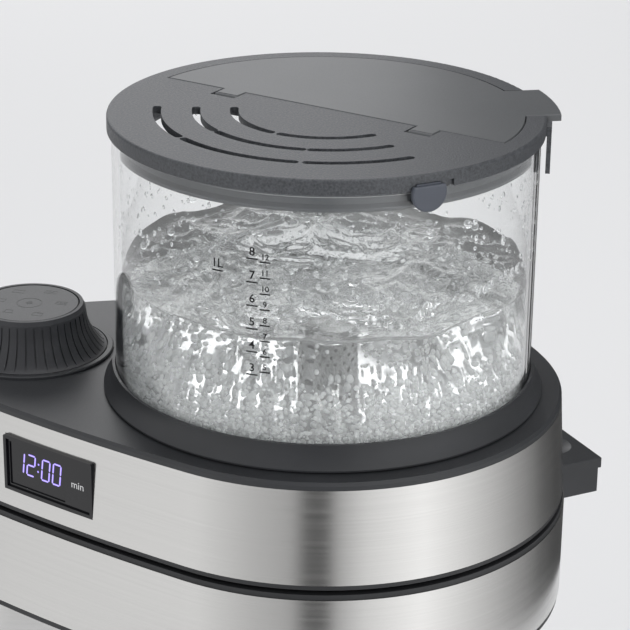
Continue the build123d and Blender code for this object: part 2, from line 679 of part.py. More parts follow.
with BuildPart() as outlet_spring:
    add(coil(OUTLET, ARMATURE_TOP + 0.1, STOP_Z - 0.1, 3.2, 0.3, 5))
outlet_spring.part.label = "outlet_spring"
export_step(outlet_spring.part, "parts/outlet_spring.step")

with BuildPart() as shower_head:
    disc(ORIGIN, SHOWER_R, HEAD_BOTTOM + 0.3, SHOWER_TOP)
    disc(ORIGIN, SHOWER_R + 3, HEAD_FLOOR_TOP, HEAD_FLOOR_TOP + 2)
    disc(ORIGIN, SHOWER_R - WALL, HEAD_BOTTOM + 2.3, SHOWER_TOP - 1.6, mode=Mode.SUBTRACT)
    disc(OUTLET, ARMATURE_R + 0.4, SHOWER_TOP - 1.6, SHOWER_TOP, mode=Mode.SUBTRACT)
    for ring_r, ring_count in ((12, 6), (25, 10)):
        with Locations((0, 0, HEAD_BOTTOM + 1.3)):
            with PolarLocations(ring_r, ring_count):
                Cylinder(1.2, 4, mode=Mode.SUBTRACT)
shower_head.part.label = "shower_head"
export_step(shower_head.part, "parts/shower_head.step")

# ---- Knob --------------------------------------------------------------------------------

RIM_TOP = 305.8
POCKET_FLOOR = 302.4
KNOB_BOTTOM = HEAD_TOP + 0.3
knob_foot = KNOB_BOTTOM + 0.9
BUTTON_TRAVEL = 1.2

with BuildPart() as knob_bezel:
    disc(COLUMN_AXIS, KNOB_R + 2.6, HEAD_TOP, HEAD_TOP + 1.2)
    chamfer(knob_bezel.edges().group_by(Axis.Z)[-1], 0.4)
    disc(COLUMN_AXIS, KNOB_R + 0.5, HEAD_TOP, HEAD_TOP + 1.2, mode=Mode.SUBTRACT)
knob_bezel.part.label = "knob_bezel"
export_step(knob_bezel.part, "parts/knob_bezel.step")

with BuildPart() as knob_sleeve:
    disc(COLUMN_AXIS, SLEEVE_R + 4, HEAD_BAND_TOP - 2, HEAD_BAND_TOP)
    disc(COLUMN_AXIS, SLEEVE_R, HEAD_BAND_TOP - 2, 300)
    disc(COLUMN_AXIS, SLEEVE_R - 2, HEAD_BAND_TOP, 300, mode=Mode.SUBTRACT)
knob_sleeve.part.label = "knob_sleeve"
export_step(knob_sleeve.part, "parts/knob_sleeve.step")

knob_section = Plane((*COLUMN_AXIS, 0), x_dir=(1, 0, 0), z_dir=(0, -1, 0))
knob_axis = Axis((*COLUMN_AXIS, 0), (0, 0, 1))

with BuildPart() as knob:
    with BuildSketch(knob_section):
        with BuildLine():
            flare = Spline(
                (KNOB_R, knob_foot),
                (24.6, knob_foot + 3.6),
                (22.0, knob_foot + 8.6),
                (KNOB_RIM_R + 0.4, RIM_TOP - 1.6),
                tangents=((-1, 0.45), (-0.12, 1)),
            )
            Polyline(
                flare @ 1,
                (KNOB_RIM_R - 0.4, RIM_TOP),
                (BUTTON_R + 0.3, RIM_TOP),
                (BUTTON_R + 0.3, POCKET_FLOOR),
                (SLEEVE_R + RUN_FIT, POCKET_FLOOR),
                (SLEEVE_R + RUN_FIT, KNOB_BOTTOM),
                (KNOB_R, KNOB_BOTTOM),
                (KNOB_R, knob_foot),
            )
        make_face()
    revolve(axis=knob_axis)
    with BuildSketch(knob_section, mode=Mode.PRIVATE) as groove:
        with BuildLine():
            groove_line = Spline(
                (KNOB_R - 1.1, knob_foot + 0.35),
                (24.0, knob_foot + 3.3),
                (21.5, knob_foot + 8.6),
                (KNOB_RIM_R + 0.1, RIM_TOP - 2.4),
                tangents=((-1, 0.45), (-0.12, 1)),
            )
            Polyline(
                groove_line @ 1,
                (KNOB_RIM_R + 6, RIM_TOP - 2.4),
                (KNOB_R + 3, knob_foot + 3),
                (KNOB_R - 1.1, knob_foot + 0.35),
            )
        make_face()
    groove_blade = extrude(groove.sketch, amount=0.3, both=True, mode=Mode.PRIVATE)
    for step in range(RIB_COUNT):
        add(groove_blade.rotate(knob_axis, 360 / RIB_COUNT * step), mode=Mode.SUBTRACT)
knob.part.label = "knob"
export_step(knob.part, "parts/knob.step")

with BuildPart() as start_button:
    disc(COLUMN_AXIS, BUTTON_R, BUTTON_TOP - 1.5, BUTTON_TOP)
    chamfer(start_button.edges().group_by(Axis.Z)[-1], 0.3)
    disc(COLUMN_AXIS, SLEEVE_R - 2 - RUN_FIT, 290, BUTTON_TOP - 1)
    disc(COLUMN_AXIS, SLEEVE_R - 4, 290, BUTTON_TOP - 2, mode=Mode.SUBTRACT)
start_button.part.label = "start_button"
export_step(start_button.part, "parts/start_button.step")

with BuildPart() as button_spring:
    add(coil(COLUMN_AXIS, HEAD_BAND_TOP + 0.1, BUTTON_TOP - 2.1, 6.0, 0.4, 6))
button_spring.part.label = "button_spring"
export_step(button_spring.part, "parts/button_spring.step")

with BuildPart() as encoder_board:
    disc(COLUMN_AXIS, 28, HEAD_BAND_TOP - 2 - BOARD_T, HEAD_BAND_TOP - 2)
    disc((COLUMN_AXIS[0] + 20, 0), 3.5, HEAD_BAND_TOP - 6, HEAD_BAND_TOP - 2)
    disc((COLUMN_AXIS[0] - 20, 0), 3.5, HEAD_BAND_TOP - 6, HEAD_BAND_TOP - 2)
encoder_board.part.label = "encoder_board"
export_step(encoder_board.part, "parts/encoder_board.step")

# ---- Lid ---------------------------------------------------------------------------------

LID_BOTTOM = GLASS_TOP + 0.1
SEAL_BOTTOM = 377.5
SEAL_SEAT_R = 69.1
lid_plane = Plane.XY.rotated((0, 0, LID_TURN))
TAB_W = 31.0
TAB_TURN = 42.0
TAB_R = 82.0
TAB_TRIM = 0.35
TONGUE_TURN = -51.0
TONGUE_R = 6.3
TONGUE_Z = 383.8
TONGUE_TOP = 2.6
FIN_TURN = 8.0
SLOT_RINGS = [
    (59.2, ((-59, -25), (-21.5, 22), (26, 60))),
    (45.5, ((-59, -25), (-21.5, 22), (26, 60))),
    (32.2, ((-60, -3.5), (3.5, 61))),
]


hinge_places = [
    Plane(
        lid_plane.from_local_coords((side * LUG_U, HINGE_V, HINGE_Z)),
        z_dir=(*polar(1, LID_TURN), 0),
    )
    for side in (-1, 1)
]


def flap_plan(trim):
    """Half disc of the flap with its finger tab, drawn trim smaller than its seat."""
    with BuildSketch(mode=Mode.PRIVATE) as half:
        Circle(FLAP_R + 0.4 - trim)
        with Locations(Rotation(0, 0, TAB_TURN)):
            Rectangle(TAB_R + 4, TAB_W + 2 * TAB_TRIM - 2 * trim, align=(Align.MIN, Align.CENTER))
        Circle(TAB_R + 0.4 - trim, mode=Mode.INTERSECT)
        with Locations((0, FLAP_EDGE_V - 0.4 + trim)):
            Rectangle(200, 100, align=(Align.CENTER, Align.MAX), mode=Mode.SUBTRACT)
    return half.sketch


with BuildPart() as lid_disc:
    with BuildSketch(lid_plane.offset(LID_BOTTOM)):
        Circle(LID_R)
    extrude(amount=TOTAL_H - LID_BOTTOM)
    fillet(lid_disc.edges().group_by(Axis.Z)[-1], 0.9)
    # the pocket under the slotted half
    with BuildSketch(lid_plane.offset(LID_BOTTOM)):
        Circle(71)
        with Locations((0, -9)):
            Rectangle(200, 100, align=(Align.CENTER, Align.MIN), mode=Mode.SUBTRACT)
    extrude(amount=2.6, mode=Mode.SUBTRACT)
    # the ring that carries the seal
    with BuildSketch(lid_plane.offset(SEAL_BOTTOM + 1)):
        Circle(SEAL_SEAT_R)
        Circle(SEAL_SEAT_R - 2.6, mode=Mode.SUBTRACT)
    extrude(amount=LID_BOTTOM + 2.7 - SEAL_BOTTOM - 1)
    # the flap's seat, its tab's seat and the filling opening
    with BuildSketch(lid_plane.offset(FLAP_BOTTOM - 0.1)):
        add(flap_plan(0))
    extrude(amount=5, mode=Mode.SUBTRACT)
    with BuildSketch(lid_plane.offset(LID_BOTTOM)):
        Circle(63)
        with Locations((0, 8)):
            Rectangle(200, 100, align=(Align.CENTER, Align.MAX), mode=Mode.SUBTRACT)
    extrude(amount=TOTAL_H - LID_BOTTOM, mode=Mode.SUBTRACT)
    # the hinge lugs' pockets and pin bores
    with BuildSketch(lid_plane.offset(HINGE_Z - 1.5)):
        with Locations((-LUG_U, FLAP_EDGE_V), (LUG_U, FLAP_EDGE_V)):
            Rectangle(LUG_W + 1.0, 8.2, align=(Align.CENTER, Align.MAX))
    extrude(amount=5, mode=Mode.SUBTRACT)
    with BuildSketch(lid_plane.offset(LID_BOTTOM)):
        with Locations((-LUG_U, -0.6), (LUG_U, -0.6)):
            Rectangle(4.6, 3.0)
    extrude(amount=5, mode=Mode.SUBTRACT)
    for lug in hinge_places:
        with Locations(lug):
            Cylinder(PIN_R + RUN_FIT, LUG_W + 6, mode=Mode.SUBTRACT)
    # the steam slots
    for ring_r, spans in SLOT_RINGS:
        for start, end in spans:
            with BuildSketch(Plane.XY.offset(LID_BOTTOM)):
                SlotArc(CenterArc((0, 0), ring_r, start - 90 + LID_TURN, end - start), SLOT_W)
            extrude(amount=10, mode=Mode.SUBTRACT)
    # the hanging fin, the tongue's notch and the small skirt notch
    fin_plane = Plane.XY.rotated((0, 0, FIN_TURN))
    with BuildSketch(fin_plane.offset(LID_BOTTOM + 0.2)):
        with Locations((75.6, 0)):
            Rectangle(3.0, 7, align=(Align.MIN, Align.CENTER))
    extrude(amount=3.4)
    with BuildSketch(fin_plane.offset(371.4)):
        with Locations((77.0, 0)):
            Rectangle(1.6, 7, align=(Align.MIN, Align.CENTER))
    extrude(amount=LID_BOTTOM + 3.6 - 371.4)
    tongue_plane = Plane.XY.rotated((0, 0, TONGUE_TURN))
    with BuildSketch(tongue_plane.offset(LID_BOTTOM)):
        with Locations((LID_R - 1.8, 0)):
            Rectangle(5, 9, align=(Align.MIN, Align.CENTER))
        with Locations((LID_R - 1.8, 8.4)):
            Rectangle(5, 3, align=(Align.MIN, Align.CENTER))
    extrude(amount=2.4, mode=Mode.SUBTRACT)
lid_disc.part.label = "lid_disc"
export_step(lid_disc.part, "parts/lid_disc.step")

with BuildPart() as lid_seal:
    with BuildSketch(Plane.XZ):
        with BuildLine():
            Polyline(
                (SEAL_SEAT_R, GLASS_TOP - 0.2),
                (72.2, GLASS_TOP - 0.6),
                (72.2, GLASS_TOP - 1.4),
                (70.9, GLASS_TOP - 2.2),
                (70.9, SEAL_BOTTOM + 2.6),
                (72.2, SEAL_BOTTOM + 1.4),
                (72.2, SEAL_BOTTOM + 0.5),
                (71.6, SEAL_BOTTOM),
                (SEAL_SEAT_R - 2.6, SEAL_BOTTOM),
                (SEAL_SEAT_R - 2.6, SEAL_BOTTOM + 1),
                (SEAL_SEAT_R, SEAL_BOTTOM + 1),
                close=True,
            )
        make_face()
    revolve(axis=Axis.Z)
lid_seal.part.label = "lid_seal"
export_step(lid_seal.part, "parts/lid_seal.step")

with BuildPart() as lid_tongue:
    tongue_face = Plane(
        (*polar(LID_R + 0.2, TONGUE_TURN), TONGUE_Z),
        x_dir=(-sin(radians(TONGUE_TURN)), cos(radians(TONGUE_TURN)), 0),
        z_dir=(*polar(1, TONGUE_TURN), 0),
    )
    with BuildSketch(tongue_face):
        Circle(TONGUE_R)
        with Locations((0, TONGUE_TOP)):
            Rectangle(20, 10, align=(Align.CENTER, Align.MIN), mode=Mode.SUBTRACT)
    extrude(amount=1.5)
    outer_face = lid_tongue.faces().sort_by(Axis((0, 0, 0), tongue_face.z_dir))[-1]
    fillet(outer_face.edges(), 0.6)
    with BuildSketch(tongue_plane.offset(LID_BOTTOM + 0.1)):
        with Locations((LID_R - 1.7, 0)):
            Rectangle(2.2, 8.6, align=(Align.MIN, Align.CENTER))
    extrude(amount=2.2)
lid_tongue.part.label = "lid_tongue"
export_step(lid_tongue.part, "parts/lid_tongue.step")

with BuildPart() as lid_flap:
    with BuildSketch(lid_plane.offset(FLAP_BOTTOM)):
        add(flap_plan(0.4))
        with Locations((-LUG_U, FLAP_EDGE_V + 1), (LUG_U, FLAP_EDGE_V + 1)):
            Rectangle(LUG_W, FLAP_EDGE_V + 1 - HINGE_V, align=(Align.CENTER, Align.MAX))
    extrude(amount=TOTAL_H - FLAP_BOTTOM + 0.1)
    chamfer(lid_flap.edges().group_by(Axis.Z)[-1], 0.3)
    for lug in hinge_places:
        with Locations(lug):
            Cylinder(1.2, LUG_W)
            Cylinder(PIN_R, LUG_W, mode=Mode.SUBTRACT)
lid_flap.part.label = "lid_flap"
export_step(lid_flap.part, "parts/lid_flap.step")

with BuildPart() as flap_pins:
    for lug in hinge_places:
        with Locations(lug):
            Cylinder(PIN_R, LUG_W + 5)
flap_pins.part.label = "flap_pins"
export_step(flap_pins.part, "parts/flap_pins.step")

# ---- Jug ---------------------------------------------------------------------------------

JUG_T = 2.2
JUG_RIM = 146.0
NECK_R = 46.5
COLLAR_H = 13.0
LID_SEAT = 148.6

with BuildPart() as jug_glass:
    with BuildSketch(Plane.XZ):
        with BuildLine():
            belly = ThreePointArc(
                (54.5, JUG_BOTTOM + 5), (JUG_R, JUG_BOTTOM + 40), (55.4, JUG_BOTTOM + 76)
            )
            shoulder = TangentArc(belly @ 1, (NECK_R, JUG_RIM - 12), tangent=belly % 1)
            Polyline(
                shoulder @ 1,
                (NECK_R, JUG_RIM),
                (0, JUG_RIM),
                (0, JUG_BOTTOM),
                (49.5, JUG_BOTTOM),
            )
            ThreePointArc((49.5, JUG_BOTTOM), (53.2, JUG_BOTTOM + 1.6), (54.5, JUG_BOTTOM + 5))
        make_face()
    revolve(axis=Axis.Z)
    offset(amount=-JUG_T, openings=jug_glass.faces().sort_by(Axis.Z)[-1])
jug_glass.part.label = "jug_glass"
export_step(jug_glass.part, "parts/jug_glass.step")

handle_out = 92.0
jug_plane = Plane.XZ.rotated((0, 0, JUG_HANDLE_TURN))

with BuildPart() as jug_collar:
    disc(ORIGIN, NECK_R + 3, JUG_RIM - COLLAR_H + 2, JUG_RIM + 2)
    with BuildSketch(Plane.XY.rotated((0, 0, JUG_HANDLE_TURN + 180)).offset(JUG_RIM - 6)):
        with Locations((NECK_R - 2, 0)):
            Trapezoid(22, 12, 66, rotation=-90)
    extrude(amount=8)
    disc(ORIGIN, NECK_R + 0.2, JUG_RIM - COLLAR_H + 2, JUG_RIM + 0.1, mode=Mode.SUBTRACT)
    disc(ORIGIN, NECK_R - JUG_T, JUG_RIM, JUG_RIM + 2, mode=Mode.SUBTRACT)
jug_collar.part.label = "jug_collar"
export_step(jug_collar.part, "parts/jug_collar.step")

with BuildPart() as jug_handle:
    with BuildLine(jug_plane) as grip:
        FilletPolyline(
            (NECK_R + 1, JUG_RIM - 3),
            (handle_out - 7, JUG_RIM - 1),
            (handle_out - 2, 84),
            (handle_out - 16, 66),
            radius=10,
        )
    with BuildSketch(Plane(grip.line @ 0, x_dir=(0, 0, 1), z_dir=grip.line % 0)):
        RectangleRounded(9, 20, 3.5)
    sweep(transition=Transition.ROUND)
    disc(ORIGIN, NECK_R + 3.02, JUG_RIM - 20, JUG_RIM + 10, mode=Mode.SUBTRACT)
jug_handle.part.label = "jug_handle"
export_step(jug_handle.part, "parts/jug_handle.step")

JUG_LID_BOTTOM = JUG_RIM + 2.3

with BuildPart() as jug_lid:
    with BuildSketch(Plane.XZ):
        with BuildLine():
            Polyline(
                (13, 158.4),
                (15, JUG_LID_BOTTOM + 6),
                (NECK_R - JUG_T - 4, JUG_LID_BOTTOM + 2),
                (NECK_R - JUG_T - 4, JUG_RIM - 6),
                (NECK_R - JUG_T - 1, JUG_RIM - 6),
                (NECK_R - JUG_T - 1, JUG_LID_BOTTOM),
                (NECK_R + 3, JUG_LID_BOTTOM),
                (NECK_R + 3, JUG_LID_BOTTOM + 3),
            )
            ThreePointArc((NECK_R + 3, JUG_LID_BOTTOM + 3), (34, 157.6), (18, 160.2))
            Line((18, 160.2), (13, 158.4))
        make_face()
    revolve(axis=Axis.Z)
jug_lid.part.label = "jug_lid"
export_step(jug_lid.part, "parts/jug_lid.step")

print("pieces written:", len(os.listdir("parts")))
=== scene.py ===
"""Looks for the filter coffee maker with a glass boiling tank.

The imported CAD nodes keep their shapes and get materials. Blender adds what CAD doesn't hold: the
boiling water with its bubbles and splashes, the drops on the glass, the printed scale, the lit
display and the knob's symbols. Metres, row frame: +Z up, -Y the front, +X from column to tank.
"""

import json
import math
import random

import bmesh
import bpy
from mathutils import Matrix, Vector, noise


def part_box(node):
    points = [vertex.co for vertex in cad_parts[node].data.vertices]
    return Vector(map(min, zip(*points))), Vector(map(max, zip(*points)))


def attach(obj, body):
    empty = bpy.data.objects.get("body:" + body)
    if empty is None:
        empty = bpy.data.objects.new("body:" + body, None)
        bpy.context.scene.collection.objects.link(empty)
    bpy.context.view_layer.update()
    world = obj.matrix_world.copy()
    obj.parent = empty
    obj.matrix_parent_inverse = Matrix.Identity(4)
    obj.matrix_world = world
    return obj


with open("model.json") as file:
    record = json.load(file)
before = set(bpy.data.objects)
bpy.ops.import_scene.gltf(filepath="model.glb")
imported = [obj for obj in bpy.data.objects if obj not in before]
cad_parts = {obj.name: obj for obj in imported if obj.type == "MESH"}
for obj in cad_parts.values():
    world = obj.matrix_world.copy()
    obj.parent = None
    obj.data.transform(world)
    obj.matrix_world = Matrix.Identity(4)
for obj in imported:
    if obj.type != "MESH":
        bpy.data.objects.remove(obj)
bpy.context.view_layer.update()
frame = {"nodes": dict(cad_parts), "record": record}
NODES = frame["nodes"]
COLLECTION = bpy.context.scene.collection
MM = 0.001

# ---- Places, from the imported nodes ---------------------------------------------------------

TANK_LOW, TANK_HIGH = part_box("tank_glass")
GLASS_R = TANK_HIGH.x
GLASS_WALL = 2.6 * MM
FLOOR_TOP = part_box("tank_floor")[1].z
LID_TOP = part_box("lid_disc")[1].z
BUTTON_LOW, BUTTON_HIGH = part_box("start_button")
KNOB_X = (BUTTON_LOW.x + BUTTON_HIGH.x) / 2
BUTTON_TOP = BUTTON_HIGH.z
STRAINER_LOW, STRAINER_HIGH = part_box("strainer")
STRAINER_XY = ((STRAINER_LOW + STRAINER_HIGH) / 2).xy
STRAINER_R = (STRAINER_HIGH.x - STRAINER_LOW.x) / 2

# ---- Material kit --------------------------------------------------------------------------


def new_material(name):
    """A node material and its Principled shader."""
    material = bpy.data.materials.new(name)
    material.use_nodes = True
    return material, material.node_tree, material.node_tree.nodes["Principled BSDF"]


def noise_field(tree, scale, detail=3.0, stretch=(1, 1, 1), roughness=0.5):
    """Noise over the object's own coordinates; scale is in cycles per metre."""
    place = tree.nodes.new("ShaderNodeTexCoord")
    mapping = tree.nodes.new("ShaderNodeMapping")
    mapping.inputs["Scale"].default_value = stretch
    field = tree.nodes.new("ShaderNodeTexNoise")
    field.inputs["Scale"].default_value = scale
    field.inputs["Detail"].default_value = detail
    field.inputs["Roughness"].default_value = roughness
    tree.links.new(place.outputs["Object"], mapping.inputs["Vector"])
    tree.links.new(mapping.outputs["Vector"], field.inputs["Vector"])
    return field.outputs["Fac"]


def ramp(tree, source, stops):
    """A colour ramp on source; stops are (position, grey or colour)."""
    node = tree.nodes.new("ShaderNodeValToRGB")
    elements = node.color_ramp.elements
    while len(elements) < len(stops):
        elements.new(0.5)
    for element, (position, tone) in zip(elements, stops):
        element.position = position
        element.color = (*tone, 1) if isinstance(tone, tuple) else (tone, tone, tone, 1)
    tree.links.new(source, node.inputs["Fac"])
    return node.outputs["Color"]


def bump(tree, shader, source, distance, strength=1.0, under=None):
    """Bump from source on the shader's normal, over an earlier bump if one is given."""
    node = tree.nodes.new("ShaderNodeBump")
    node.inputs["Distance"].default_value = distance
    node.inputs["Strength"].default_value = strength
    tree.links.new(source, node.inputs["Height"])
    if under:
        tree.links.new(under, node.inputs["Normal"])
    tree.links.new(node.outputs["Normal"], shader.inputs["Normal"])
    return node.outputs["Normal"]


def plastic(name, dark, light, rough, grain, depth, specular=0.5, patch=35.0, coat=0.0):
    """Moulded plastic: two near tones in soft patches, fine grain in gloss and relief."""
    material, tree, shader = new_material(name)
    tone = ramp(tree, noise_field(tree, patch, 4), [(0.3, dark), (0.7, light)])
    tree.links.new(tone, shader.inputs["Base Color"])
    fine = noise_field(tree, grain, 2, roughness=0.6)
    gloss = ramp(tree, fine, [(0.35, rough[0]), (0.65, rough[1])])
    tree.links.new(gloss, shader.inputs["Roughness"])
    shader.inputs["Specular IOR Level"].default_value = specular
    shader.inputs["Coat Weight"].default_value = coat
    bump(tree, shader, fine, depth)
    return material


def brushed(name, tone, rough, lines, depth, anisotropy, around=True):
    """Brushed steel: hair lines that run round the piece, or along X where it lies flat."""
    material, tree, shader = new_material(name)
    shader.inputs["Metallic"].default_value = 1.0
    stretch = (0.004, 0.004, 1.0) if around else (0.004, 1.0, 1.0)
    hair = noise_field(tree, lines, 2, stretch, 0.6)
    broad = noise_field(tree, lines / 6, 2, stretch, 0.5)
    colour = ramp(tree, hair, [(0.3, tuple(c * 0.96 for c in tone)), (0.7, tone)])
    tree.links.new(colour, shader.inputs["Base Color"])
    gloss = ramp(tree, broad, [(0.3, rough[0]), (0.7, rough[1])])
    tree.links.new(gloss, shader.inputs["Roughness"])
    shader.inputs["Anisotropic"].default_value = anisotropy
    if around:
        tangent = tree.nodes.new("ShaderNodeTangent")
        tangent.direction_type = "RADIAL"
        tangent.axis = "Z"
        tree.links.new(tangent.outputs["Tangent"], shader.inputs["Tangent"])
    bump(tree, shader, hair, depth)
    return material


def clear(name, tint, index, rough=0.0, clearness=1.0):
    """Glass or water that lets the lamps' light through to what is behind it."""
    material, tree, shader = new_material(name)
    shader.inputs["Base Color"].default_value = (*tint, 1)
    shader.inputs["Transmission Weight"].default_value = clearness
    shader.inputs["IOR"].default_value = index
    shader.inputs["Roughness"].default_value = rough
    rays = tree.nodes.new("ShaderNodeLightPath")
    open_way = tree.nodes.new("ShaderNodeBsdfTransparent")
    open_way.inputs["Color"].default_value = (*tint, 1)
    mix = tree.nodes.new("ShaderNodeMixShader")
    tree.links.new(rays.outputs["Is Shadow Ray"], mix.inputs["Fac"])
    tree.links.new(shader.outputs["BSDF"], mix.inputs[1])
    tree.links.new(open_way.outputs["BSDF"], mix.inputs[2])
    tree.links.new(mix.outputs["Shader"], tree.nodes["Material Output"].inputs["Surface"])
    return material


def glowing(name, colour, strength):
    """A lit surface, such as a display's segments."""
    material, tree, shader = new_material(name)
    shader.inputs["Base Color"].default_value = (0.02, 0.02, 0.03, 1)
    glow = ramp(tree, noise_field(tree, 900, 1), [(0.2, tuple(c * 0.9 for c in colour)), (0.8, colour)])
    tree.links.new(glow, shader.inputs["Emission Color"])
    shader.inputs["Emission Strength"].default_value = strength
    return material


def printed(name, tone, rough):
    """Printed ink with a slightly uneven film."""
    material, tree, shader = new_material(name)
    film = noise_field(tree, 2600, 2)
    ink = ramp(tree, film, [(0.3, tuple(c * 0.85 for c in tone)), (0.7, tone)])
    tree.links.new(ink, shader.inputs["Base Color"])
    shader.inputs["Roughness"].default_value = rough
    bump(tree, shader, film, 0.01 * MM)
    return material


STEEL = (0.66, 0.655, 0.645)

MATERIALS = {
    "steel_band": brushed("steel_band", STEEL, (0.13, 0.2), 2600, 0.001 * MM, 0.4),
    "polished_steel": brushed("polished_steel", (0.7, 0.7, 0.69), (0.16, 0.26), 2500, 0.002 * MM, 0.3, False),
    "spring_steel": brushed("spring_steel", (0.68, 0.68, 0.7), (0.15, 0.25), 3000, 0.002 * MM, 0.2),
    "zinc_fastener": brushed("zinc_fastener", (0.58, 0.58, 0.56), (0.3, 0.42), 1800, 0.004 * MM, 0.2),
    "black_plastic": plastic(
        "black_plastic", (0.016, 0.0165, 0.018), (0.024, 0.025, 0.027), (0.4, 0.56), 2600, 0.02 * MM
    ),
    "satin_black": plastic(
        "satin_black", (0.022, 0.0235, 0.026), (0.03, 0.0315, 0.035), (0.36, 0.46), 3200, 0.008 * MM
    ),
    "grained_black": plastic(
        "grained_black", (0.026, 0.028, 0.032), (0.078, 0.083, 0.091), (0.38, 0.62), 1300, 0.16 * MM, 0.6, 1300
    ),
    "flap_grey": plastic(
        "flap_grey", (0.075, 0.079, 0.083), (0.083, 0.087, 0.091), (0.42, 0.48), 3600, 0.004 * MM, 0.6
    ),
    "knob_black": plastic(
        "knob_black", (0.02, 0.021, 0.024), (0.028, 0.029, 0.033), (0.42, 0.54), 2900, 0.012 * MM
    ),
    "gloss_black": plastic(
        "gloss_black", (0.004, 0.004, 0.006), (0.007, 0.007, 0.009), (0.06, 0.12), 700, 0.002 * MM, 0.5
    ),
    "lamp_module": plastic("lamp_module", (0.6, 0.6, 0.62), (0.7, 0.7, 0.72), (0.5, 0.6), 2000, 0.01 * MM),
    "basket_plastic": plastic(
        "basket_plastic", (0.035, 0.036, 0.038), (0.05, 0.051, 0.054), (0.36, 0.5), 2600, 0.015 * MM
    ),
    "bearing_plastic": plastic(
        "bearing_plastic", (0.6, 0.59, 0.55), (0.7, 0.69, 0.65), (0.4, 0.5), 2400, 0.01 * MM
    ),
    "circuit_board": plastic(
        "circuit_board", (0.01, 0.1, 0.035), (0.02, 0.17, 0.07), (0.25, 0.4), 1600, 0.01 * MM
    ),
    "coil_winding": plastic(
        "coil_winding", (0.32, 0.1, 0.03), (0.5, 0.19, 0.06), (0.2, 0.35), 2600, 0.04 * MM
    ),
    "thermostat_cap": plastic(
        "thermostat_cap", (0.55, 0.53, 0.47), (0.68, 0.66, 0.6), (0.4, 0.55), 1800, 0.01 * MM
    ),
    "cast_heater": brushed("cast_heater", (0.42, 0.42, 0.42), (0.45, 0.6), 900, 0.03 * MM, 0.1),
    "coated_plate": plastic(
        "coated_plate", (0.014, 0.014, 0.015), (0.026, 0.026, 0.027), (0.3, 0.42), 1500, 0.02 * MM, 0.5
    ),
    "seal_rubber": plastic("seal_rubber", (0.2, 0.2, 0.21), (0.27, 0.27, 0.28), (0.5, 0.62), 1800, 0.01 * MM),
    "rubber_feet": plastic("rubber_feet", (0.016, 0.016, 0.016), (0.026, 0.026, 0.026), (0.6, 0.75), 1500, 0.04 * MM),
    "clear_glass": clear("clear_glass", (0.985, 0.99, 0.99), 1.47),
}


def height_field(tree, low, high):
    """0 to 1 between two heights of the object's own coordinates."""
    place = tree.nodes.new("ShaderNodeTexCoord")
    split = tree.nodes.new("ShaderNodeSeparateXYZ")
    span = tree.nodes.new("ShaderNodeMapRange")
    span.inputs["From Min"].default_value = low
    span.inputs["From Max"].default_value = high
    tree.links.new(place.outputs["Object"], split.inputs["Vector"])
    tree.links.new(split.outputs["Z"], span.inputs["Value"])
    return span.outputs["Result"]


def translucent(name, tint, rough, weight, index=1.41, painted_rim_highlight=None):
    """Silicone or milky plastic that passes some light; the last argument, if given, is (from height, to height,
    tone): a light band painted between those heights as a painted highlight.
    """
    material, tree, shader = new_material(name)
    if painted_rim_highlight:
        # painted highlight: a near-white band between the two heights stands in for the bright line of the glass rim
        tone = ramp(tree, height_field(tree, painted_rim_highlight[0], painted_rim_highlight[1]), [(0.4, tint), (0.6, painted_rim_highlight[2])])
    else:
        tone = ramp(tree, noise_field(tree, 120, 3), [(0.3, tuple(c * 0.92 for c in tint)), (0.7, tint)])
    tree.links.new(tone, shader.inputs["Base Color"])
    shader.inputs["Transmission Weight"].default_value = weight
    shader.inputs["IOR"].default_value = index
    shader.inputs["Roughness"].default_value = rough
    bump(tree, shader, noise_field(tree, 500, 3), 0.02 * MM)
    return material


SEAL_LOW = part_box("lid_seal")[0].z
MATERIALS["translucent_seal"] = translucent(
    "translucent_seal",
    (0.1, 0.106, 0.112),
    0.4,
    0.1,
    # the light band here is a painted highlight of the glass rim's bright line, painted onto the seal
    painted_rim_highlight=(SEAL_LOW + 4.2 * MM, SEAL_LOW + 5.6 * MM, (0.72, 0.73, 0.73)),
)
MATERIALS["translucent_tongue"] = translucent("translucent_tongue", (0.085, 0.094, 0.116), 0.3, 0.12)

for part in frame["record"]["subparts"]:
    node = NODES[part["node"]]
    material = MATERIALS[part["material_slot"]]
    if node.material_slots:
        for held in node.material_slots:
            held.material = material
    else:
        node.data.materials.append(material)

# ---- Piece kit -----------------------------------------------------------------------------


def add_piece(name, mesh, material, body):
    """Link a mesh as a piece that rides on a CAD body."""
    piece = bpy.data.objects.new(name, mesh)
    COLLECTION.objects.link(piece)
    piece.data.materials.append(material)
    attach(piece, body)
    return piece


def mesh_from(name, build, smooth=True):
    """A mesh filled by build(bm)."""
    bm = bmesh.new()
    build(bm)
    bmesh.ops.recalc_face_normals(bm, faces=bm.faces)
    mesh = bpy.data.meshes.new(name)
    bm.to_mesh(mesh)
    bm.free()
    for face in mesh.polygons:
        face.use_smooth = smooth
    return mesh


def text_mesh(words, size, depth, weight=0.0):
    """Flat lettering in the XY plane, with a little thickness; weight makes the strokes bolder."""
    curve = bpy.data.curves.new("lettering", "FONT")
    curve.body = words
    curve.size = size
    curve.extrude = depth
    curve.offset = weight
    curve.align_x = "CENTER"
    curve.align_y = "CENTER"
    curve.resolution_u = 4
    holder = bpy.data.objects.new("lettering", curve)
    COLLECTION.objects.link(holder)
    bpy.context.view_layer.update()
    mesh = bpy.data.meshes.new_from_object(holder.evaluated_get(bpy.context.evaluated_depsgraph_get()))
    bpy.data.objects.remove(holder)
    return mesh


def prism(bm, outline, low, high):
    """Add a flat plate of the given outline between two heights."""
    rings = [[bm.verts.new((x, y, z)) for x, y in outline] for z in (low, high)]
    bm.faces.new(list(reversed(rings[0])))
    bm.faces.new(rings[1])
    for i in range(len(outline)):
        k = (i + 1) % len(outline)
        bm.faces.new((rings[0][i], rings[0][k], rings[1][k], rings[1][i]))


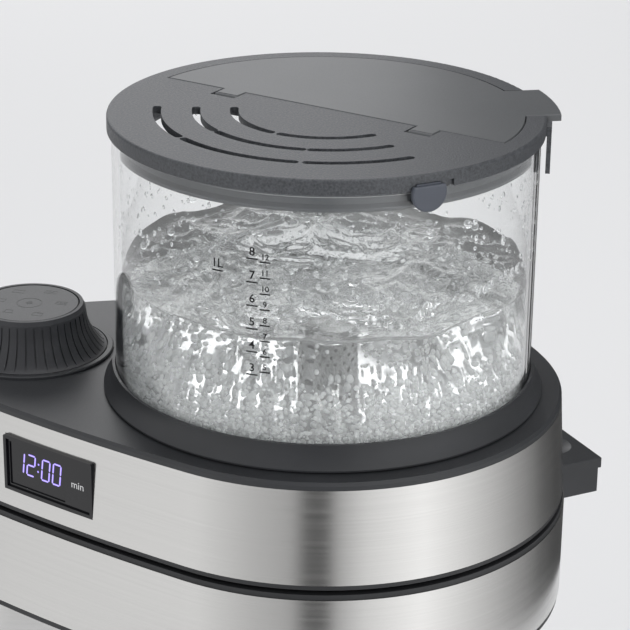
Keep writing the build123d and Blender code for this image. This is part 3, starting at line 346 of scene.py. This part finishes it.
def stroke(bm, path, width, low, high, closed=False):
    """Add a flat line of some width along a path, as one plate for each run."""
    runs = list(zip(path, path[1:] + path[:1])) if closed else list(zip(path, path[1:]))
    for a, b in runs:
        along = (Vector(b) - Vector(a)).normalized()
        side = Vector((-along.y, along.x)) * width / 2
        reach = along * width * 0.4
        a2, b2 = Vector(a) - reach, Vector(b) + reach
        prism(bm, [a2 + side, a2 - side, b2 - side, b2 + side], low, high)


def circle_path(centre, radius, count=40, start=0.0, sweep=360.0):
    """Points round a circle or an arc."""
    return [
        (
            centre[0] + radius * math.cos(math.radians(start + sweep * i / count)),
            centre[1] + radius * math.sin(math.radians(start + sweep * i / count)),
        )
        for i in range(count + (0 if sweep == 360.0 else 1))
    ]


# ---- Water ---------------------------------------------------------------------------------

WATER_R = GLASS_R - GLASS_WALL - 0.12 * MM
WATER_LEVEL = LID_TOP - 56.5 * MM
WATER_LOW = FLOOR_TOP + 0.12 * MM
RINGS = 120
SPOKES = 300
SWELL = 6.4 * MM


def wave_height(x, y):
    """Height of the boiling surface over its mean level, in metres."""
    p = Vector((x, y, 0.0)) / 0.030
    warp = noise.noise_vector(p * 0.9 + Vector((3.1, 7.7, 1.3))) * 0.85
    big = noise.noise(p * 0.62 + warp * 0.6 + Vector((8.2, 1.4, 5.0)))
    ridge = 1 - abs(noise.noise(p * 1.35 + warp + Vector((0.3, 4.1, 9.2)))) * 2.3
    fold = 1 - abs(noise.noise(p * 3.1 + warp * 1.6 + Vector((5.5, 2.2, 0.7)))) * 2.2
    ripple = noise.noise(p * 8.0 + warp * 2.5)
    fine = noise.noise(p * 19.0 + warp * 3.0)
    dome = math.exp(-(((x + 0.030) / 0.034) ** 2 + ((y - 0.040) / 0.030) ** 2))
    calm = min(1.0, max(0.12, (WATER_R - math.hypot(x, y)) / 0.016))
    small = 0.42 * ridge**3 + 0.16 * fold**3 + 0.08 * ripple + 0.02 * fine
    return SWELL * (0.75 * big + calm * small + 0.9 * dome - 0.3)


def build_water(bm):
    """Closed body of water: wavy top, straight wall, flat bottom."""
    centre = bm.verts.new((0, 0, WATER_LEVEL + wave_height(0, 0)))
    previous = None
    for ring in range(1, RINGS + 1):
        radius = WATER_R * (ring / RINGS) ** 0.8
        row = []
        for spoke in range(SPOKES):
            turn = 2 * math.pi * spoke / SPOKES
            x, y = radius * math.cos(turn), radius * math.sin(turn)
            climb = 2.2 * MM * max(0.0, (ring / RINGS - 0.96) / 0.04) ** 2
            row.append(bm.verts.new((x, y, WATER_LEVEL + wave_height(x, y) + climb)))
        for spoke in range(SPOKES):
            after = (spoke + 1) % SPOKES
            if previous is None:
                bm.faces.new((centre, row[spoke], row[after]))
            else:
                bm.faces.new((previous[spoke], row[spoke], row[after], previous[after]))
        previous = row
    rounding = 1.0 * MM
    levels = [(WATER_R, WATER_LOW + rounding), (WATER_R - 0.3 * MM, WATER_LOW + 0.3 * MM), (WATER_R - rounding, WATER_LOW)]
    for radius, z in levels:
        row = [
            bm.verts.new(
                (radius * math.cos(2 * math.pi * s / SPOKES), radius * math.sin(2 * math.pi * s / SPOKES), z)
            )
            for s in range(SPOKES)
        ]
        for spoke in range(SPOKES):
            after = (spoke + 1) % SPOKES
            bm.faces.new((previous[spoke], row[spoke], row[after], previous[after]))
        previous = row
    bm.faces.new(previous)


WATER = clear("boiling_water", (0.97, 0.98, 0.98), 1.24, 0.04, 0.88)
BUBBLE = translucent("steam_bubble", (0.86, 0.87, 0.87), 0.22, 0.5, 1.12)

add_piece("water", mesh_from("water", build_water), WATER, "machine")

dice = random.Random(41)


def unit_ball(detail):
    """Points and faces of a unit ball."""
    bm = bmesh.new()
    bmesh.ops.create_icosphere(bm, subdivisions=detail, radius=1.0)
    bm.verts.ensure_lookup_table()
    points = [v.co.copy() for v in bm.verts]
    faces = [[v.index for v in f.verts] for f in bm.faces]
    bm.free()
    return points, faces


BALLS = {detail: unit_ball(detail) for detail in (1, 2)}


def ball_mesh(name, balls):
    """One mesh of many round blobs, each (centre, radius, stretch, turn about Z, detail)."""
    points, faces = [], []
    for centre, radius, stretch, turn, detail in balls:
        ball_points, ball_faces = BALLS[detail]
        shape = Matrix.Translation(centre) @ Matrix.Rotation(turn, 4, "Z")
        shape = shape @ Matrix.Diagonal((*(radius * k for k in stretch), 1))
        first = len(points)
        points.extend(shape @ p for p in ball_points)
        faces.extend([first + i for i in face] for face in ball_faces)
    mesh = bpy.data.meshes.new(name)
    mesh.from_pydata(points, [], faces)
    mesh.update()
    for face in mesh.polygons:
        face.use_smooth = True
    return mesh


def near_strainer(x, y, margin):
    return math.hypot(x - STRAINER_XY.x, y - STRAINER_XY.y) < STRAINER_R + margin


def bubble_spots():
    """Places and sizes of the bubbles: thick on the floor and low on the wall, thinner above."""
    spots = []
    for _ in range(3200):
        turn = dice.uniform(0, 2 * math.pi)
        radius = dice.uniform(0.35, 1.0) * MM
        rise = dice.random() ** 2.6 * 22 * MM
        reach = WATER_R - radius - 0.15 * MM - dice.random() ** 2 * 3 * MM
        spots.append((reach * math.cos(turn), reach * math.sin(turn), WATER_LOW + radius + 0.1 * MM + rise, radius))
    for _ in range(2600):
        turn = dice.uniform(0, 2 * math.pi)
        radius = dice.uniform(0.4, 1.2) * MM
        reach = (WATER_R - 2.5 * MM) * math.sqrt(dice.random())
        rise = dice.random() ** 3 * 14 * MM
        spots.append((reach * math.cos(turn), reach * math.sin(turn), WATER_LOW + radius + 0.1 * MM + rise, radius))
    for _ in range(420):
        turn = dice.uniform(0, 2 * math.pi)
        radius = dice.uniform(0.25, 0.9) * MM
        reach = (WATER_R - 1.5 * MM) * math.sqrt(dice.random())
        x, y = reach * math.cos(turn), reach * math.sin(turn)
        top = WATER_LEVEL + wave_height(x, y) - radius - 1.2 * MM
        spots.append((x, y, dice.uniform(WATER_LOW + 8 * MM, top), radius))
    return [s for s in spots if not near_strainer(s[0], s[1], s[3] + 0.3 * MM)]


bubbles = [
    ((x, y, z), radius, (1, 1, dice.uniform(0.8, 1.0)), 0.0, 1 if radius < 0.7 * MM else 2)
    for x, y, z, radius in bubble_spots()
]
add_piece("bubbles", ball_mesh("bubbles", bubbles), BUBBLE, "machine")


def froth_balls():
    """Bubble domes and beads that sit on the surface, and drops thrown up from it."""
    balls = []
    for _ in range(520):
        turn = dice.uniform(0, 2 * math.pi)
        reach = (WATER_R - 3 * MM) * math.sqrt(dice.random())
        x, y = reach * math.cos(turn), reach * math.sin(turn)
        radius = dice.uniform(0.25, 0.8) * MM if dice.random() < 0.85 else dice.uniform(0.9, 1.7) * MM
        lift = radius * 0.2 if dice.random() < 0.7 else dice.uniform(1, 9) * MM
        place = (x, y, WATER_LEVEL + wave_height(x, y) + lift)
        balls.append((place, radius, (1, 1, 1), 0.0, 1 if radius < 0.6 * MM else 2))
    return balls


add_piece("froth", ball_mesh("froth", froth_balls()), WATER, "machine")


def drop_balls():
    """Flattened drops that cling to the inside of the glass above the water."""
    balls = []
    for _ in range(620):
        turn = dice.uniform(0, 2 * math.pi)
        z = WATER_LEVEL + 9 * MM + dice.random() ** 1.5 * 34 * MM
        radius = dice.uniform(0.25, 0.75) * MM if dice.random() < 0.88 else dice.uniform(0.8, 1.3) * MM
        wall = GLASS_R - GLASS_WALL - 0.3 * radius
        place = (wall * math.cos(turn), wall * math.sin(turn), z)
        balls.append((place, radius, (0.4, 1.0, dice.uniform(1.0, 1.5)), turn, 1 if radius < 0.6 * MM else 2))
    return balls


add_piece("drops", ball_mesh("drops", drop_balls()), WATER, "machine")

# ---- Scale printed on the glass ------------------------------------------------------------

INK = printed("scale_ink", (0.004, 0.004, 0.005), 0.85)
INK_LIFT = 0.03 * MM


def wrap_on_glass(mesh, azimuth, height):
    """Bend flat lettering round the outside of the tank's glass."""
    radius = GLASS_R + INK_LIFT
    for vertex in mesh.vertices:
        turn = math.radians(azimuth) + vertex.co.x / radius
        out = radius + vertex.co.z
        vertex.co = (out * math.cos(turn), out * math.sin(turn), height + vertex.co.y)


def scale_column(azimuth, first, last, top, pitch, size, tick, drop):
    """One column of cup numbers with a line under each number."""
    for step, number in enumerate(range(first, last - 1, -1)):
        height = LID_TOP - top - step * pitch
        mesh = text_mesh(str(number), size, 0.015 * MM, 0.05 * MM)
        wrap_on_glass(mesh, azimuth, height)
        add_piece(f"scale_{first}_{number}", mesh, INK, "machine")
        below = height - drop

        def build_tick(bm, width=tick):
            stroke(bm, [(-width / 2, 0), (width / 2, 0)], 0.5 * MM, -0.01 * MM, 0.02 * MM)

        mark = mesh_from("scale_mark", build_tick, False)
        wrap_on_glass(mark, azimuth, below)
        add_piece(f"scale_mark_{first}_{number}", mark, INK, "machine")


scale_column(-94.8, 8, 3, 26.6 * MM, 8.2 * MM, 4.1 * MM, 3.6 * MM, 2.4 * MM)
scale_column(-91.4, 12, 5, 28.1 * MM, 5.55 * MM, 2.8 * MM, 3.2 * MM, 1.75 * MM)
litre = text_mesh("1L", 4.3 * MM, 0.015 * MM, 0.05 * MM)
wrap_on_glass(litre, -104.4, LID_TOP - 32.5 * MM)
add_piece("scale_litre", litre, INK, "machine")
litre_mark = mesh_from(
    "scale_mark",
    lambda bm: stroke(bm, [(-1.8 * MM, 0), (1.8 * MM, 0)], 0.5 * MM, -0.01 * MM, 0.02 * MM),
    False,
)
wrap_on_glass(litre_mark, -104.3, LID_TOP - 35.0 * MM)
add_piece("scale_litre_mark", litre_mark, INK, "machine")

# ---- Display -------------------------------------------------------------------------------

WINDOW_LOW, WINDOW_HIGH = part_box("display_window")
DISPLAY_CENTRE = (WINDOW_LOW + WINDOW_HIGH) / 2


def display_frame():
    """The window's own axes: x along its front, y up, z out of the machine."""
    normals = [f.normal for f in NODES["display_window"].data.polygons if f.area > 50 * MM * MM and f.normal.y < -0.9]
    out = sum(normals, Vector()).normalized()
    across = Vector((0, 0, 1)).cross(out).normalized()
    face = max((v.co.dot(out) for v in NODES["display_window"].data.vertices))
    centre = DISPLAY_CENTRE + out * (face - DISPLAY_CENTRE.dot(out))
    turn = Matrix((across, Vector((0, 0, 1)), out)).transposed().to_4x4()
    return Matrix.Translation(centre) @ turn


DISPLAY = display_frame()
LED = glowing("led_violet", (0.3, 0.2, 0.95), 1.25)
LED_CORE = glowing("led_core", (0.58, 0.5, 1.0), 1.3)
WHITE_INK = printed("white_ink", (0.82, 0.82, 0.82), 0.45)

SEGMENTS = {
    "0": "abcdef",
    "1": "bc",
    "2": "abged",
}
DIGIT_W = 3.5 * MM
DIGIT_H = 8.0 * MM
SEG = 0.7 * MM
LEAN = 0.12
RECESS = -0.46 * MM


def bar(bm, a, b, width, low, high):
    """One lit segment with pointed ends."""
    a, b = Vector(a), Vector(b)
    along = (b - a).normalized()
    side = Vector((-along.y, along.x)) * width / 2
    tip = along * width / 2
    prism(bm, [a, a + tip + side, b - tip + side, b, b - tip - side, a + tip - side], low, high)


def digit(bm, glyph, x0, y0, width, low, high):
    w, h = DIGIT_W, DIGIT_H / 2
    ends = {
        "a": ((0, 2 * h), (w, 2 * h)),
        "b": ((w, 2 * h), (w, h)),
        "c": ((w, h), (w, 0)),
        "d": ((0, 0), (w, 0)),
        "e": ((0, h), (0, 0)),
        "f": ((0, 2 * h), (0, h)),
        "g": ((0, h), (w, h)),
    }
    for name in SEGMENTS[glyph]:
        (ax, ay), (bx, by) = ends[name]
        gap = 0.12 * MM
        a, b = Vector((ax, ay)), Vector((bx, by))
        step = (b - a).normalized() * gap
        a, b = a + step, b - step
        bar(
            bm,
            (x0 + a.x + LEAN * a.y, y0 + a.y),
            (x0 + b.x + LEAN * b.y, y0 + b.y),
            width,
            low,
            high,
        )


DIGIT_LEFT = -16.2 * MM
DIGIT_LOW = -2.9 * MM
DIGIT_PLACES = [("1", 0.0), ("2", 5.2), ("0", 12.2), ("0", 17.4)]


def build_time(width, low, high, dots):
    def build(bm):
        for glyph, offset in DIGIT_PLACES:
            digit(bm, glyph, DIGIT_LEFT + offset * MM, DIGIT_LOW, width, low, high)
        for y in (2.6 * MM, 5.5 * MM):
            middle = (DIGIT_LEFT + 10.4 * MM + LEAN * y, DIGIT_LOW + y)
            prism(bm, circle_path(middle, dots, 12), low, high)

    return build


halo = mesh_from("display_time", build_time(SEG, RECESS, RECESS + 0.03 * MM, 0.42 * MM), False)
halo.transform(DISPLAY)
add_piece("display_time", halo, LED, "machine")
core = mesh_from("display_time_core", build_time(SEG * 0.5, RECESS + 0.03 * MM, RECESS + 0.06 * MM, 0.24 * MM), False)
core.transform(DISPLAY)
add_piece("display_time_core", core, LED_CORE, "machine")

minutes = text_mesh("min", 4.1 * MM, 0.015 * MM)
minutes.transform(DISPLAY @ Matrix.Translation((13.6 * MM, 0.0, 0.03 * MM)))
add_piece("display_unit", minutes, WHITE_INK, "machine")

# ---- Symbols on the knob's button ----------------------------------------------------------

SYMBOL_INK = printed("symbol_ink", (0.008, 0.008, 0.009), 0.4)
LINE = 0.28 * MM


def build_symbols(bm):
    """Line drawings: a start circle with a small ring and a short line inside it, five rectangles (one with a plus,
    one split in four, one with a peak on top) and a trapezoid.
    """
    low, high = BUTTON_TOP - 0.01 * MM, BUTTON_TOP + 0.03 * MM

    def line(points, closed=False, width=LINE):
        stroke(bm, [(KNOB_X + x * MM, y * MM) for x, y in points], width, low, high, closed)

    def ring(x, y, radius, width=LINE):
        line(circle_path((x, y), radius, 32), True, width)

    ring(0, 0, 4.7)
    ring(0, 0, 1.0, 0.2 * MM)
    line([(0, 0.2), (0, 1.9)])
    for x, y in ((-8, 10), (4, 12.4)):
        line([(x - 2.2, y - 1.3), (x + 2.2, y - 1.3), (x + 2.2, y + 1.3), (x - 2.2, y + 1.3)], True)
    line([(2.6, 12.4), (5.4, 12.4)])
    line([(4.0, 11.3), (4.0, 13.5)])
    line([(9.6, 1.6), (13.6, 1.6), (13.6, 4.2), (9.6, 4.2)], True)
    line([(9.6, 2.9), (13.6, 2.9)])
    line([(11.6, 1.6), (11.6, 4.2)])
    line([(4.9, -11.3), (8.7, -11.3), (8.7, -8.7), (4.9, -8.7)], True)
    line([(6.0, -8.7), (6.8, -7.6), (7.6, -8.7)])
    line([(-6.3, -11.2), (-2.7, -11.2), (-3.2, -8.6), (-5.8, -8.6)], True)
    line([(-13.2, -1.4), (-9.6, -1.4), (-9.6, 1.2), (-13.2, 1.2)], True)


add_piece(
    "button_symbols", mesh_from("button_symbols", build_symbols, False), SYMBOL_INK, "start_button"
)

# ---- Floor, lights and camera --------------------------------------------------------------

FLOOR_TONE = 0.80
floor_material, floor_tree, floor_shader = new_material("studio_floor")
floor_tone = ramp(
    floor_tree, noise_field(floor_tree, 0.8, 2), [(0.3, FLOOR_TONE), (0.7, FLOOR_TONE * 1.015)]
)
floor_tree.links.new(floor_tone, floor_shader.inputs["Base Color"])
floor_shader.inputs["Roughness"].default_value = 0.9
floor_shader.inputs["Specular IOR Level"].default_value = 0.1


def build_floor(bm):
    prism(bm, circle_path((0, 0), 9.0, 96), -0.02, 0.0)


floor = bpy.data.objects.new("floor", mesh_from("floor", build_floor, False))
COLLECTION.objects.link(floor)
floor.data.materials.append(floor_material)

world = bpy.data.worlds.new("studio")
bpy.context.scene.world = world
world.use_nodes = True
sky = world.node_tree.nodes["Background"]
sky.inputs["Color"].default_value = (0.95, 0.96, 1.0, 1)
sky.inputs["Strength"].default_value = 0.42

TARGET = Vector((0.0, 0.0, 0.32))


def softbox(name, azimuth, distance, height, width, tall, power, aim=TARGET, tone=(1, 1, 1)):
    """Rectangular studio light that faces the machine."""
    lamp = bpy.data.lights.new(name, "AREA")
    lamp.shape = "RECTANGLE"
    lamp.size = width
    lamp.size_y = tall
    lamp.energy = power
    lamp.color = tone
    holder = bpy.data.objects.new(name, lamp)
    COLLECTION.objects.link(holder)
    turn = math.radians(azimuth)
    holder.location = (distance * math.cos(turn), distance * math.sin(turn), height)
    holder.rotation_euler = (aim - holder.location).to_track_quat("-Z", "Y").to_euler()
    return holder


# the two front lamps light the piece; the wall below is what its steel reflects
softbox("key_right", -38, 1.7, 0.75, 0.95, 1.7, 14).visible_glossy = False
softbox("fill_left", -118, 2.0, 0.75, 1.1, 1.5, 8).visible_glossy = False
softbox("top", 60, 0.5, 2.0, 1.8, 1.6, 18)
softbox("back", 112, 2.4, 1.1, 2.8, 1.6, 18)

# A curved wall that only mirror-like surfaces see: bright and dark strips round the front.
WALL_R = 0.42
WALL_STRIPS = [
    (-175, 0.7),
    (-157, 0.85),
    (-130, 0.92),
    (-104, 0.62),
    (-88, 0.5),
    (-82, 0.1),
    (-74, 0.1),
    (-70, 0.5),
    (-58, 0.9),
    (-34, 1.3),
    (-8, 0.8),
    (16, 0.4),
    (38, 0.12),
    (56, 0.05),
    (96, 0.05),
]


def build_wall(bm):
    """Part of a cylinder, open at the rear."""
    rows = []
    for turn in range(-176, 97, 4):
        x, y = WALL_R * math.cos(math.radians(turn)), WALL_R * math.sin(math.radians(turn))
        rows.append((bm.verts.new((x, y, 0.01)), bm.verts.new((x, y, 1.0))))
    for a, b in zip(rows, rows[1:]):
        bm.faces.new((a[0], b[0], b[1], a[1]))


wall_material, wall_tree, wall_shader = new_material("studio_wall")
wall_shader.inputs["Base Color"].default_value = (0, 0, 0, 1)
wall_place = wall_tree.nodes.new("ShaderNodeTexCoord")
wall_turn = wall_tree.nodes.new("ShaderNodeTexGradient")
wall_turn.gradient_type = "RADIAL"
wall_tree.links.new(wall_place.outputs["Object"], wall_turn.inputs["Vector"])
wall_glow = ramp(wall_tree, wall_turn.outputs["Fac"], [((h + 180) / 360, v / 1.3) for h, v in WALL_STRIPS])
wall_tree.links.new(wall_glow, wall_shader.inputs["Emission Color"])
wall_shader.inputs["Emission Strength"].default_value = 1.3
wall = bpy.data.objects.new("reflection_wall", mesh_from("reflection_wall", build_wall))
COLLECTION.objects.link(wall)
wall.data.materials.append(wall_material)
wall.visible_camera = wall.visible_diffuse = wall.visible_shadow = wall.visible_transmission = False

CAMERA_POS = Vector((0.1810, -0.7568, LID_TOP + 0.2351))
CAMERA_DOWN = 21.86
CAMERA_TURN = 13.68
CAMERA_ROLL = 0.705
LENS = 132.5

lens = bpy.data.cameras.new("camera")
lens.lens = LENS
lens.sensor_width = 36.0
lens.clip_start = 0.02
camera = bpy.data.objects.new("camera", lens)
COLLECTION.objects.link(camera)
camera.matrix_world = (
    Matrix.Translation(CAMERA_POS)
    @ Matrix.Rotation(math.radians(CAMERA_TURN), 4, "Z")
    @ Matrix.Rotation(math.radians(90 - CAMERA_DOWN), 4, "X")
    @ Matrix.Rotation(math.radians(CAMERA_ROLL), 4, "Z")
)
bpy.context.scene.camera = camera

bpy.context.scene.view_settings.view_transform = "Standard"
bpy.context.scene.view_settings.look = "None"
bpy.context.scene.cycles.transmission_bounces = 14
bpy.context.scene.cycles.max_bounces = 18
bpy.context.scene.cycles.transparent_max_bounces = 24

bpy.context.view_layer.update()
